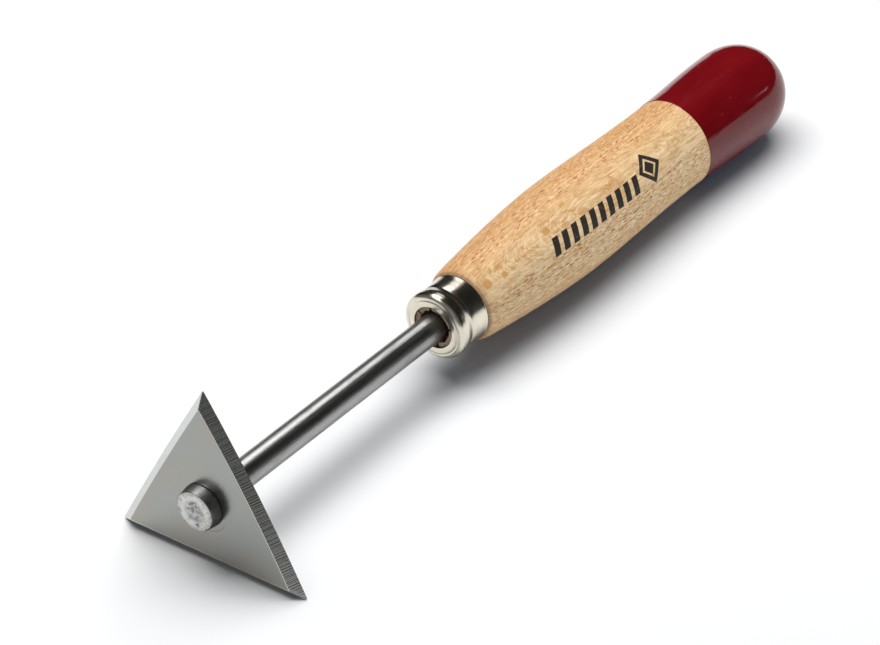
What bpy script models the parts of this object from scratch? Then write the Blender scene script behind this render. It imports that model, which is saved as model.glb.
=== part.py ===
"""Triangular pull scraper, lying as it rests on a flat surface.

A bevelled triangular blade is riveted square across the end of a round steel shaft. The
shaft's tang is driven into a turned beech handle, whose nose sits in a pressed nickel
ferrule, and the handle's round butt is dipped in lacquer.

The pieces are drawn along the tool's own axis: +X runs from the blade's cutting plane (x = 0)
to the butt, +Y to the left side and +Z to the blade's apex. The whole tool is then tipped so
that the blade's lower edge and the swell of the butt both touch z = 0.
"""

import math

import bmesh
import bpy
from mathutils import Matrix, Vector

MM = 0.001
GAP = 0.3 * MM  # clearance kept between pieces that fit together

# Blade: an equilateral triangle, its three edges ground at about 45 degrees.
BLADE_SIDE = 61.4 * MM
BLADE_THICKNESS = 2.4 * MM
BEVEL_WIDTH = 2.3 * MM
TIP_RADIUS = 0.3 * MM
LEFT_CROWN = 0.35 * MM  # how far each upright edge bows out at its middle
RIGHT_CROWN = 1.0 * MM
EDGE_STEPS = 12
TIP_STEPS = 3
BLADE_INRADIUS = BLADE_SIDE / (2 * math.sqrt(3))
BLADE_OFFSET = Vector((-0.55 * MM, -0.60 * MM))  # its middle, off the shaft's axis in y and z

# Shaft: a round bar, its front end turned down through the blade and upset into a head.
SHAFT_RADIUS = 4.0 * MM
TENON_RADIUS = 3.25 * MM
HEAD_FACE_RADIUS = 5.75 * MM
HEAD_BASE_RADIUS = 6.35 * MM
HEAD_HEIGHT = 3.7 * MM
HEAD_ROUNDING = 0.5 * MM
TANG_END = 148.0 * MM
TANG_TAPER = 16.0 * MM
TANG_TIP_RADIUS = 1.2 * MM
WING_REACH = 5.4 * MM
WING_THICKNESS = 1.6 * MM
WING_START = 98.0 * MM
WING_END = 118.0 * MM
WING_RAMP = 3.0 * MM
SHAFT_SEGMENTS = 48

# Ferrule: a pressed cap of sheet metal. A flat annular face, a full round rim, a wide groove
# behind it and a skirt that flares to a rolled rear edge. Places are from the ferrule's front.
FERRULE_FRONT = 93.8 * MM
FERRULE_LENGTH = 11.8 * MM
FERRULE_SHEET = 0.6 * MM
FERRULE_HOLE_RADIUS = 6.2 * MM
FERRULE_FACE_RADIUS = 8.4 * MM
RIM_RADIUS = 10.0 * MM
RIM_START = 1.8 * MM
RIM_END = 2.6 * MM
GROOVE_RADIUS = 9.35 * MM
GROOVE_PLACE = 5.8 * MM
SKIRT_RADIUS = 9.56 * MM
SKIRT_START = 7.4 * MM
SKIRT_FLARE = 0.26 * MM
ROLL_HEIGHT = 0.1 * MM
ROLL_WIDTH = 0.8 * MM
INNER_RADIUS = 9.05 * MM
INNER_ROUNDING = 1.15 * MM
FERRULE_SEGMENTS = 48

# Handle: nose, belly, waist, swell and a blunt round end.
NOSE_CHAMFER = 0.85 * MM
SHOULDER_PLACE = FERRULE_FRONT + FERRULE_LENGTH + GAP
SHOULDER_RADIUS = 10.78 * MM  # of the grip's curve, before its edge is rounded off
SHOULDER_ROUNDING = 3.0 * MM
SHOULDER_DROP = 0.85 * MM
BELLY_PLACE = 152.0 * MM
BELLY_RADIUS = 14.33 * MM
BELLY_FULLNESS = 1.57
WAIST_PLACE = 197.3 * MM
WAIST_RADIUS = 13.38 * MM
SWELL_PLACE = 232.0 * MM
SWELL_RADIUS = 14.37 * MM
BUTT_END = 249.4 * MM
BUTT_ALONG = 2.49  # the exponents of the butt's rounded, slightly squared end
BUTT_ACROSS = 2.16
HANDLE_SEGMENTS = 48
BORE_RADIUS = SHAFT_RADIUS + GAP
BORE_BEYOND_TANG = 1.5 * MM

# Lacquer: a thin dipped coat over the butt.
LACQUER_EDGE = 203.9 * MM
LACQUER_THICKNESS = 0.4 * MM


def material(name, colour, roughness, metallic):
    made = bpy.data.materials.new(name)
    made.use_nodes = True
    shader = made.node_tree.nodes["Principled BSDF"]
    shader.inputs["Base Color"].default_value = (*colour, 1)
    shader.inputs["Roughness"].default_value = roughness
    shader.inputs["Metallic"].default_value = metallic
    return made


def add_object(name, bm, finish):
    """One sub-part from a bmesh: outward normals, smooth shading and sharp creases."""
    bmesh.ops.recalc_face_normals(bm, faces=bm.faces)
    mesh = bpy.data.meshes.new(name)
    bm.to_mesh(mesh)
    bm.free()
    mesh.shade_smooth()
    mesh.set_sharp_from_angle(angle=math.radians(30))
    if finish:
        mesh.materials.append(finish)
    obj = bpy.data.objects.new(name, mesh)
    bpy.context.scene.collection.objects.link(obj)
    return obj


def turned(name, outline, segments, finish, closed=False):
    """Turns an outline of (x, radius) points about the X axis. A closed outline makes a ring."""
    bm = bmesh.new()
    points = [bm.verts.new((x, 0, radius)) for x, radius in outline]
    pairs = list(zip(points, points[1:]))
    if closed:
        pairs.append((points[-1], points[0]))
    edges = [bm.edges.new(pair) for pair in pairs if any(point.co.z for point in pair)]
    bmesh.ops.spin(
        bm,
        geom=points + edges,
        cent=(0, 0, 0),
        axis=(1, 0, 0),
        angle=math.tau,
        steps=segments,
        use_merge=True,
    )
    bmesh.ops.remove_doubles(bm, verts=bm.verts, dist=1e-7)
    return add_object(name, bm, finish)


def arc(centre, radius, start, end, steps):
    """Points on a circle in the (x, radius) plane, from one angle to another, in degrees."""
    angles = [math.radians(start + (end - start) * i / steps) for i in range(steps + 1)]
    return [(centre[0] + radius * math.cos(a), centre[1] + radius * math.sin(a)) for a in angles]


def ease(u):
    return (1 - math.cos(math.pi * u)) / 2


def add_helper(target, helper, operation):
    """Joins a helper shape to the target, or cuts it away, and leaves the helper out of renders."""
    helper.hide_render = True
    helper.display_type = "WIRE"
    boolean = target.modifiers.new(helper.name, "BOOLEAN")
    boolean.operation = operation
    boolean.solver = "EXACT"
    boolean.object = helper


# ---------------------------------------------------------------- blade


def blade_outline(inradius):
    """The triangle's outline as (y, z) points: bowed edges between three small round tips."""
    reach = 2 * inradius - TIP_RADIUS / math.sin(math.radians(30))
    centres = [
        Vector((reach * math.cos(math.radians(a)), reach * math.sin(math.radians(a))))
        for a in (-30, 90, 210)
    ]
    crowns = (LEFT_CROWN, RIGHT_CROWN, 0)
    outline = []
    for corner, (centre, crown) in enumerate(zip(centres, crowns)):
        facing = -30 + 120 * corner
        for i in range(TIP_STEPS + 1):
            angle = math.radians(facing - 60 + 120 * i / TIP_STEPS)
            outline.append(centre + TIP_RADIUS * Vector((math.cos(angle), math.sin(angle))))
        outward = Vector((math.cos(math.radians(facing + 60)), math.sin(math.radians(facing + 60))))
        start = centre + TIP_RADIUS * outward
        end = centres[(corner + 1) % 3] + TIP_RADIUS * outward
        steps = EDGE_STEPS if crown else 1
        for i in range(1, steps):
            u = i / steps
            outline.append(start.lerp(end, u) + outward * crown * 4 * u * (1 - u))
    return outline


def make_blade(finish):
    """The flat back and front faces, the bevels between them and a hole for the tenon."""
    bm = bmesh.new()
    rings = [
        [bm.verts.new((x, *(point + BLADE_OFFSET))) for point in blade_outline(inradius)]
        for x, inradius in ((0, BLADE_INRADIUS), (-BLADE_THICKNESS, BLADE_INRADIUS - BEVEL_WIDTH))
    ]
    back, front = rings
    bm.faces.new(back)
    bm.faces.new(front)
    for i in range(len(back)):
        j = (i + 1) % len(back)
        bm.faces.new((back[i], back[j], front[j], front[i]))
    blade = add_object("blade", bm, finish)
    radius = TENON_RADIUS + GAP
    span = BLADE_THICKNESS
    outline = [(-2 * span, 0), (-2 * span, radius), (span, radius), (span, 0)]
    add_helper(blade, turned("blade_hole_cutter", outline, SHAFT_SEGMENTS, None), "DIFFERENCE")
    return blade


# ---------------------------------------------------------------- shaft


def cross_section(reach, half_thickness, start, end, ramp, name):
    """Four wings about the X axis: two crossed plates, ramped at their rear ends."""
    bm = bmesh.new()
    for turn in (0, 90):
        side = [(start, reach), (end - ramp, reach), (end, 0), (end - ramp, -reach), (start, -reach)]
        near = [bm.verts.new((x, half_thickness, z)) for x, z in side]
        face = bm.faces.new(near)
        grown = bmesh.ops.extrude_face_region(bm, geom=[face])["geom"]
        far = [item for item in grown if isinstance(item, bmesh.types.BMVert)]
        bmesh.ops.translate(bm, verts=far, vec=(0, -2 * half_thickness, 0))
        rotation = Matrix.Rotation(math.radians(turn), 3, "X")
        bmesh.ops.rotate(bm, verts=near + far, cent=(0, 0, 0), matrix=rotation)
    return add_object(name, bm, None)


def make_shaft(finish):
    """The upset head, the tenon through the blade, the bar, and the winged, pointed tang."""
    head_base = -BLADE_THICKNESS - GAP
    head_face = -BLADE_THICKNESS - HEAD_HEIGHT
    rounding_centre = (head_face + HEAD_ROUNDING, HEAD_FACE_RADIUS - HEAD_ROUNDING)
    outline = [(head_face, 0)]
    outline += arc(rounding_centre, HEAD_ROUNDING, 180, 95, 4)
    outline += [
        (head_base, HEAD_BASE_RADIUS),
        (head_base, TENON_RADIUS),
        (GAP, TENON_RADIUS),
        (GAP, SHAFT_RADIUS),
        (TANG_END - TANG_TAPER, SHAFT_RADIUS),
        (TANG_END, TANG_TIP_RADIUS),
        (TANG_END, 0),
    ]
    shaft = turned("shaft", outline, SHAFT_SEGMENTS, finish)
    wings = cross_section(
        WING_REACH, WING_THICKNESS / 2, WING_START, WING_END, WING_RAMP, "tang_wings"
    )
    add_helper(shaft, wings, "UNION")
    shaft.modifiers["tang_wings"].use_self = True
    return shaft


# ---------------------------------------------------------------- ferrule


def eased(start, end, steps):
    """Points on a smooth curve between two, level at both ends. The first is left out."""
    return [
        (start[0] + (end[0] - start[0]) * i / steps, start[1] + (end[1] - start[1]) * ease(i / steps))
        for i in range(1, steps + 1)
    ]


def make_ferrule(finish):
    """A pressed cap: annular face, full rim, wide groove, flared skirt and rolled rear edge."""
    front = FERRULE_FRONT
    rear = front + FERRULE_LENGTH
    rim_height = RIM_RADIUS - FERRULE_FACE_RADIUS
    outline = [(front, FERRULE_HOLE_RADIUS)]
    for angle in (0, 22.5, 45, 67.5, 90):
        a = math.radians(angle)
        along = RIM_START * (1 - math.cos(a))
        outline.append((front + along, FERRULE_FACE_RADIUS + rim_height * math.sin(a)))
    rim_end = (front + RIM_END, RIM_RADIUS)
    groove = (front + GROOVE_PLACE, GROOVE_RADIUS)
    skirt = (front + SKIRT_START, SKIRT_RADIUS)
    outline += [rim_end, *eased(rim_end, groove, 4), *eased(groove, skirt, 3)]
    for i in range(5):
        bulge = ROLL_HEIGHT * math.sin(math.pi * i / 4)
        outline.append((rear - ROLL_WIDTH * (1 - i / 4), SKIRT_RADIUS + SKIRT_FLARE + bulge))
    corner = (front + FERRULE_SHEET + INNER_ROUNDING, INNER_RADIUS - INNER_ROUNDING)
    outline.append((rear, INNER_RADIUS))
    outline += arc(corner, INNER_ROUNDING, 90, 180, 3)
    outline.append((front + FERRULE_SHEET, FERRULE_HOLE_RADIUS))
    return turned("ferrule", outline, FERRULE_SEGMENTS, finish, closed=True)


# ---------------------------------------------------------------- handle and lacquer


def handle_radius(x):
    """The turned outline behind the ferrule, from the shoulder to the blunt round end."""
    if x < BELLY_PLACE:
        u = (BELLY_PLACE - x) / (BELLY_PLACE - SHOULDER_PLACE)
        v = max(1 - (x - SHOULDER_PLACE) / SHOULDER_ROUNDING, 0)
        radius = BELLY_RADIUS - (BELLY_RADIUS - SHOULDER_RADIUS) * u**BELLY_FULLNESS
        return radius - SHOULDER_DROP * (1 - math.sqrt(1 - v * v))
    if x < WAIST_PLACE:
        u = (x - BELLY_PLACE) / (WAIST_PLACE - BELLY_PLACE)
        return BELLY_RADIUS + (WAIST_RADIUS - BELLY_RADIUS) * ease(u)
    if x < SWELL_PLACE:
        u = (x - WAIST_PLACE) / (SWELL_PLACE - WAIST_PLACE)
        return WAIST_RADIUS + (SWELL_RADIUS - WAIST_RADIUS) * ease(u)
    u = min((x - SWELL_PLACE) / (BUTT_END - SWELL_PLACE), 1)
    return SWELL_RADIUS * (1 - u**BUTT_ALONG) ** (1 / BUTT_ACROSS)


def stretch(start, end, steps):
    """Points on the handle's outline at even steps between two places."""
    places = [start + (end - start) * i / steps for i in range(steps + 1)]
    return [(x, handle_radius(x)) for x in places]


def butt_outline():
    """The outline from the lacquer's edge to the end, with closer points round the butt."""
    outline = stretch(LACQUER_EDGE, SWELL_PLACE, 4)
    steps = 9
    for i in range(1, steps + 1):
        u = math.sin(math.pi / 2 * i / steps)
        x = SWELL_PLACE + (BUTT_END - SWELL_PLACE) * u
        outline.append((x, handle_radius(x)))
    return outline


def shrunk(outline, distance):
    """The outline moved inwards along its own normals. It ends on the axis, as it began."""
    moved = []
    last = len(outline) - 1
    for i, (x, radius) in enumerate(outline):
        before = outline[max(i - 1, 0)]
        after = outline[i + 1] if i < last else (x, -outline[i - 1][1])
        along = Vector((after[0] - before[0], after[1] - before[1])).normalized()
        moved.append((x + along.y * distance, radius - along.x * distance))
    moved[-1] = (moved[-1][0], 0)
    return moved


def make_handle(finish):
    """The beech body: the nose in the ferrule, the grip, and the core under the lacquer."""
    nose = FERRULE_FRONT + FERRULE_SHEET + GAP
    nose_radius = INNER_RADIUS - GAP
    outline = [
        (nose, 0),
        (nose, nose_radius - NOSE_CHAMFER),
        (nose + NOSE_CHAMFER, nose_radius),
        (SHOULDER_PLACE, nose_radius),
    ]
    for angle in (0, 30, 60):
        x = SHOULDER_PLACE + SHOULDER_ROUNDING * (1 - math.cos(math.radians(angle)))
        outline.append((x, handle_radius(x)))
    outline += stretch(SHOULDER_PLACE + SHOULDER_ROUNDING, BELLY_PLACE, 7)
    outline += stretch(BELLY_PLACE, LACQUER_EDGE - GAP, 7)[1:]
    outline += shrunk(butt_outline(), LACQUER_THICKNESS + GAP)
    handle = turned("handle", outline, HANDLE_SEGMENTS, finish)

    start = nose - NOSE_CHAMFER
    end = TANG_END + BORE_BEYOND_TANG
    bore = [(start, 0), (start, BORE_RADIUS), (end - BORE_RADIUS, BORE_RADIUS), (end, 0)]
    add_helper(handle, turned("bore_cutter", bore, SHAFT_SEGMENTS, None), "DIFFERENCE")
    slots = cross_section(
        WING_REACH + GAP, WING_THICKNESS / 2 + GAP, start, WING_END + GAP, WING_RAMP, "slot_cutter"
    )
    add_helper(handle, slots, "DIFFERENCE")
    handle.modifiers["slot_cutter"].use_self = True
    return handle


def make_lacquer(finish):
    """The coat's outer surface follows the handle's outline, and its inner one the core's."""
    outer = butt_outline()
    inner = shrunk(outer, LACQUER_THICKNESS)
    return turned("butt_lacquer", outer + inner[::-1], HANDLE_SEGMENTS, finish, closed=True)


# ---------------------------------------------------------------- whole tool


def resting_tilt():
    """The angle at which the tool lies on the blade's lower edge and the butt."""
    blade_drop = BLADE_INRADIUS - BLADE_OFFSET.y
    return min(
        math.atan2(blade_drop - radius, x) for x, radius in stretch(BELLY_PLACE, BUTT_END, 200)
    )


def lay_down(pieces):
    """Tips the tool onto its edge and butt, with the origin under the middle of its box."""
    tool_axis = bpy.data.objects.new("tool_axis", None)
    bpy.context.scene.collection.objects.link(tool_axis)
    for piece in pieces:
        piece.parent = tool_axis
        for modifier in piece.modifiers:
            modifier.object.parent = tool_axis
    tool_axis.rotation_euler = (0, resting_tilt(), 0)
    bpy.context.view_layer.update()
    corners = [
        piece.matrix_world @ vertex.co for piece in pieces for vertex in piece.data.vertices
    ]
    lows = [min(corner[axis] for corner in corners) for axis in range(3)]
    highs = [max(corner[axis] for corner in corners) for axis in range(3)]
    tool_axis.location = (-(lows[0] + highs[0]) / 2, -(lows[1] + highs[1]) / 2, -lows[2])


def main():
    for obj in list(bpy.data.objects):
        bpy.data.objects.remove(obj, do_unlink=True)
    steel = material("blade_steel", (0.30, 0.30, 0.28), 0.42, 1.0)
    bar_steel = material("shaft_steel", (0.22, 0.22, 0.22), 0.30, 1.0)
    nickel = material("ferrule_nickel", (0.80, 0.77, 0.68), 0.12, 1.0)
    beech = material("handle_beech", (0.72, 0.47, 0.25), 0.55, 0.0)
    red = material("butt_lacquer_red", (0.20, 0.008, 0.012), 0.12, 0.0)
    lay_down(
        [
            make_blade(steel),
            make_shaft(bar_steel),
            make_ferrule(nickel),
            make_handle(beech),
            make_lacquer(red),
        ]
    )


main()
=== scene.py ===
"""The looks of the triangular pull scraper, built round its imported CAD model.

Lengths are in metres, except in the materials, which work in millimetres. Each piece is
modelled along the tool's own axis, +X from the blade's back face to the butt, and is then
placed by the matrix that tool_placement() finds in the CAD model. Angles about that axis
are from +Y towards +Z.
"""

import math

import bmesh
import bpy
from mathutils import Matrix, Vector, noise


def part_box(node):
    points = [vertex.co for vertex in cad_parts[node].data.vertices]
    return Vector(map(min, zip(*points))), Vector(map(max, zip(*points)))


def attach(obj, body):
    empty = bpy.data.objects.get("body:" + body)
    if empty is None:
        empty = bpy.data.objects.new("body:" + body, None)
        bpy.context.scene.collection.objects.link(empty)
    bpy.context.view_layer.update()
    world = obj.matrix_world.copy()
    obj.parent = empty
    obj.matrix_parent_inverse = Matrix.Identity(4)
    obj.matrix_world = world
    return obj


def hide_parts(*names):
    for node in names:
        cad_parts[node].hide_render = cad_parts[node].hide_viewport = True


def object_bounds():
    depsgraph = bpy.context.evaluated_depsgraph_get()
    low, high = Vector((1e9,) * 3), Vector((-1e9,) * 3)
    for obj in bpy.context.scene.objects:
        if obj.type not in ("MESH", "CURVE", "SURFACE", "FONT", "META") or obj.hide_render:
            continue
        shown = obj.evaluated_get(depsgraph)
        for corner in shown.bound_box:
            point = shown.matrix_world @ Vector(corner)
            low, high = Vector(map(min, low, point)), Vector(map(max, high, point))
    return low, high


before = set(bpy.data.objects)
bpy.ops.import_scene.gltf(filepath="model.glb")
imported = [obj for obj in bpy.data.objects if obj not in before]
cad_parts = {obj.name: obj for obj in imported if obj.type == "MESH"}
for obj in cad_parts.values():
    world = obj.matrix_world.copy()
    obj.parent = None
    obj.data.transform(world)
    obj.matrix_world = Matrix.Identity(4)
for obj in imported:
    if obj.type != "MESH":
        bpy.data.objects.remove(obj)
cad_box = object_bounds()

MM = 0.001
CLEARANCE = 0.3 * MM  # what the CAD model leaves between two pieces
HAIR = 0.02 * MM  # the step between surfaces that look as if they touch

# Blade
BLADE_SIDE = 61.4 * MM
BLADE_THICKNESS = 2.4 * MM
BEVEL_WIDTH = 2.3 * MM
TIP_RADIUS = 0.3 * MM
LEFT_CROWN = 0.35 * MM
RIGHT_CROWN = 1.0 * MM
BLADE_INRADIUS = BLADE_SIDE / (2 * math.sqrt(3))
BLADE_OFFSET = Vector((-0.55 * MM, -0.60 * MM))  # its middle, off the shaft's axis in y and z
EDGE_STEPS = 60
TIP_STEPS = 3
EDGE_LAND = 0.05 * MM
ARRIS = 0.07 * MM
HOLE_GAP = 0.1 * MM
RING_RADIUS = 7.8 * MM  # of the faint mark that the riveting tool left round the head
RING_DEPTH = 0.006 * MM
RING_WIDTH = 0.16 * MM
RING_PRESSED = math.radians(-122)  # the side of the ring that is pressed deepest
LINE_SIZE = 0.36  # mm, of the grinding lines
LEFT_FACING, RIGHT_FACING, LOWER_FACING = 30, 150, 270  # degrees: the way each edge faces

# Shaft
SHAFT_RADIUS = 4.0 * MM
SHAFT_CHAMFER = 0.2 * MM
SHAFT_SIDES = 96
TENON_RADIUS = 3.25 * MM
HEAD_FACE_RADIUS = 5.9 * MM
HEAD_BASE_RADIUS = 6.35 * MM
HEAD_HEIGHT = 3.7 * MM
HEAD_ROUNDING = 0.4 * MM
HEAD_FACE = -BLADE_THICKNESS - HEAD_HEIGHT
TANG_END = 148.0 * MM
TANG_TAPER = 16.0 * MM
TANG_TIP_RADIUS = 1.2 * MM

# Ferrule. The places of the rim's end and the groove are from its front.
FERRULE_FRONT = 93.8 * MM
FERRULE_LENGTH = 11.8 * MM
FERRULE_SHEET = 0.6 * MM
FERRULE_SIDES = 200
FERRULE_HOLE_RADIUS = 6.2 * MM
FERRULE_FACE_RADIUS = 7.7 * MM
HOLE_LIP = 0.25 * MM
FACE_STEP = 0.22 * MM
STEP_RADIUS = 8.4 * MM
RIM_RADIUS = 10.0 * MM
RIM_START = 1.8 * MM
RIM_END = 2.6 * MM
GROOVE_RADIUS = 9.33 * MM
GROOVE_PLACE = 5.8 * MM
SKIRT_RADIUS = 9.56 * MM
SKIRT_FLARE = 0.26 * MM
SKIRT_RISE = 0.5 * MM
ROLL_HEIGHT = 0.1 * MM
ROLL_WIDTH = 0.8 * MM
INNER_RADIUS = 9.05 * MM
INNER_ROUNDING = 1.15 * MM

# Handle and lacquer
HANDLE_SIDES = 240
NOSE_FRONT = FERRULE_FRONT + FERRULE_SHEET
NOSE_CHAMFER = 0.85 * MM
END_GRAIN_RADIUS = 6.9 * MM  # what is modelled of the nose's end, a little more than shows
MOUTH_RADIUS = 4.75  # mm, of the bore's ragged mouth
MOUTH_DEPTH = 4.0 * MM
BORE_RADIUS = 4.2 * MM
BORE_SPARE = 1.5 * MM  # from the tang's end to the bottom of the bore
SHOULDER_PLACE = FERRULE_FRONT + FERRULE_LENGTH + CLEARANCE
SHOULDER_RADIUS = 10.78 * MM  # of the grip's curve, before its edge is rounded off
SHOULDER_ROUNDING = 3.0 * MM
SHOULDER_DROP = 0.85 * MM
BELLY_PLACE = 152.0 * MM
BELLY_RADIUS = 14.33 * MM
BELLY_FULLNESS = 1.57
WAIST_PLACE = 197.3 * MM
WAIST_RADIUS = 13.38 * MM
SWELL_PLACE = 232.0 * MM
SWELL_RADIUS = 14.37 * MM
BUTT_END = 249.4 * MM
BUTT_ALONG = 2.49  # the powers of the butt's curve
BUTT_ACROSS = 2.16
LACQUER_EDGE = 203.9 * MM
LACQUER_FILM = 0.10 * MM
LACQUER_FADE = 12.0 * MM  # the length in which the wood sinks to lie under the film
# The splits in the nose's end: degrees about the axis, then depth and width in mm
SPLITS = (
    (78, 2.4, 0.26),
    (-12, 2.2, 0.30),
    (-98, 2.6, 0.30),
    (-74, 2.6, 0.26),
    (171, 2.2, 0.30),
    (30, 1.2, 0.2),
)

# The beech's figure and the print on it, in mm and in degrees about the axis
RAY_DIRECTION = 128.0  # where the medullary rays show broadside
GRAIN_RADIUS = 14.0  # the grain is laid out on a bar of this radius, so it follows the outline
SPOTS = (  # the dark spots: place along, place across, half length and half width
    (109.0, -0.6, 1.25, 1.2),
    (115.2, -1.5, 0.95, 0.85),
    (115.4, 1.3, 0.95, 0.85),
    (134.6, 0.9, 1.35, 0.95),
)
PRINT_MIDDLE = 145.2
PRINT_START, PRINT_END = 133.0, 173.2
PRINT_HEIGHT = 5.0
PRINT_BARS = 10
PRINT_SLANT = 0.35
BAR_SHARE = 0.6  # of the pitch that a bar fills
BADGE_PLACE, BADGE_SHIFT = 179.0, 1.7
BADGE_REACH = 4.8
BADGE_HOLLOW = (2.18, 3.02)
PRINT_BLUR = 0.08

# Camera: the direction it looks from, and how far the tool's centre is from the picture's
CAMERA_AZIMUTH = -50.71
CAMERA_ELEVATION = 35.56
CAMERA_ROLL = -3.10
CAMERA_DISTANCE = 1.4023
CAMERA_RIGHT = -0.01496
CAMERA_UP = -0.01972
CAMERA_LENS = 212.7
CAMERA_SENSOR = 36

# Light. The overhead makes the shadows. The softbox, the strip and the window are seen in
# what shines. The bluish fill and tint offset the warm light that the wood throws on its own
# lower side and on the floor.
OVERHEAD_PLACE = (0.20, 0.27, 1.20)
OVERHEAD_TARGET = (0.0, 0.0, 0.0)
OVERHEAD_SIZE = (1.6, 0.90)
OVERHEAD_POWER = 22.0
SOFTBOX_PLACE = (-0.05, 0.50, 1.15)  # and the strip's
SOFTBOX_TARGET = (-0.02, 0.0, 0.0)
SOFTBOX_SIZE = (2.1, 0.74)
SOFTBOX_POWER = 24.0
STRIP_SIZE = (2.1, 0.60)
STRIP_POWER = 8.0
WINDOW_PLACE = (1.16, -1.02, 0.26)
WINDOW_TARGET = (0.1, 0.0, 0.02)
WINDOW_SIZE = (0.075, 0.055)
WINDOW_POWER = 0.14
WINDOW_COLOUR = (0.80, 0.80, 1.0)
FILL_PLACE = (0.50, -1.45, 0.22)
FILL_TARGET = (0.0, 0.0, 0.02)
FILL_SIZE = (1.2, 0.5)
FILL_POWER = 22.0
FILL_COLOUR = (0.33, 0.60, 1.0)
TINT_PLACE = (0.1, -1.2, 0.5)
TINT_TARGET = (0.05, 0.0, 0.0)
TINT_SIZE = (1.0, 0.5)
TINT_POWER = 0.95
TINT_COLOUR = (0.0, 0.45, 1.0)
AMBIENT = 0.14
ROOM_DIM, ROOM_DIM_COLOUR = 0.016, (1, 0.95, 0.88, 1)  # the room as it is reflected
ROOM_BEHIND = 0.20  # and its lighter side, behind the camera
FLOOR_REACH = 3.0
FLOOR_DROP = 0.1 * MM  # below the tool, so that it doesn't cut into the pieces that lie on it


# ---------------------------------------------------------------- placing


def tool_placement():
    """The matrix from the tool's own axis to the row frame. The tool lies on the blade's lower
    edge and on the handle, and the CAD blade's box says how far along it is."""
    lower_edge = BLADE_INRADIUS - BLADE_OFFSET.y
    apex = 2 * BLADE_INRADIUS - TIP_RADIUS + BLADE_OFFSET.y
    tilt = min(
        math.atan2(lower_edge - radius, x) for x, radius in stretch(BELLY_PLACE, BUTT_END, 200)
    )
    origin = (
        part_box("blade")[1].x - apex * math.sin(tilt),
        -BLADE_OFFSET.x,
        lower_edge * math.cos(tilt),
    )
    return Matrix.Translation(origin) @ Matrix.Rotation(tilt, 4, "Y")


def add_piece(name, vertices, faces, finish, replaced, sharp):
    """A piece in the tool's own axes, placed in the row frame, in place of a CAD node. Edges
    that turn by more than the angle sharp, in degrees, stay sharp."""
    mesh = bpy.data.meshes.new(name)
    mesh.from_pydata([tuple(v) for v in vertices], [], faces)
    mesh.validate()
    mesh.transform(PLACEMENT)
    bm = bmesh.new()
    bm.from_mesh(mesh)
    bmesh.ops.recalc_face_normals(bm, faces=bm.faces)
    bm.to_mesh(mesh)
    bm.free()
    mesh.shade_smooth()
    mesh.set_sharp_from_angle(angle=math.radians(sharp))
    mesh.materials.append(finish)
    obj = bpy.data.objects.new(name, mesh)
    bpy.context.scene.collection.objects.link(obj)
    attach(obj, "root")
    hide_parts(replaced)
    return obj


def turned(outline, sides, shape, closed=False):
    """Vertices and faces of an outline of (x, radius) points turned about the X axis.

    shape(x, radius, angle) returns the (x, radius) that a point really gets. A point with no
    radius is a single vertex on the axis. A closed outline makes a ring.
    """
    vertices, rows = [], []
    for x, radius in outline:
        if radius == 0:
            rows.append([len(vertices)] * sides)
            vertices.append((x, 0, 0))
            continue
        rows.append(list(range(len(vertices), len(vertices) + sides)))
        for k in range(sides):
            angle = math.tau * k / sides
            place, reach = shape(x, radius, angle)
            vertices.append((place, reach * math.cos(angle), reach * math.sin(angle)))
    faces = []
    pairs = list(zip(rows, rows[1:]))
    if closed:
        pairs.append((rows[-1], rows[0]))
    for near, far in pairs:
        for k in range(sides):
            j = (k + 1) % sides
            face = [near[k], near[j], far[j], far[k]]
            face = [v for i, v in enumerate(face) if v != face[i - 1]]
            if len(face) > 2:
                faces.append(face)
    return vertices, faces


def arc(centre, radius, start, end, steps):
    """(x, radius) points on an arc between two angles in degrees, both ends included."""
    angles = [math.radians(start + (end - start) * i / steps) for i in range(steps + 1)]
    return [(centre[0] + radius * math.cos(a), centre[1] + radius * math.sin(a)) for a in angles]


def ease(u):
    """0 to 1 as u goes from 0 to 1, changing slowly at both ends."""
    return (1 - math.cos(math.pi * u)) / 2


def spread(start, end, steps, pace=lambda u: u):
    """(x, radius) points between two of them, the first one left out. They are evenly spaced,
    except that x may keep another pace."""
    points = []
    for i in range(1, steps + 1):
        u = i / steps
        x = start[0] + (end[0] - start[0]) * pace(u)
        points.append((x, start[1] + (end[1] - start[1]) * u))
    return points


# ---------------------------------------------------------------- materials


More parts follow.
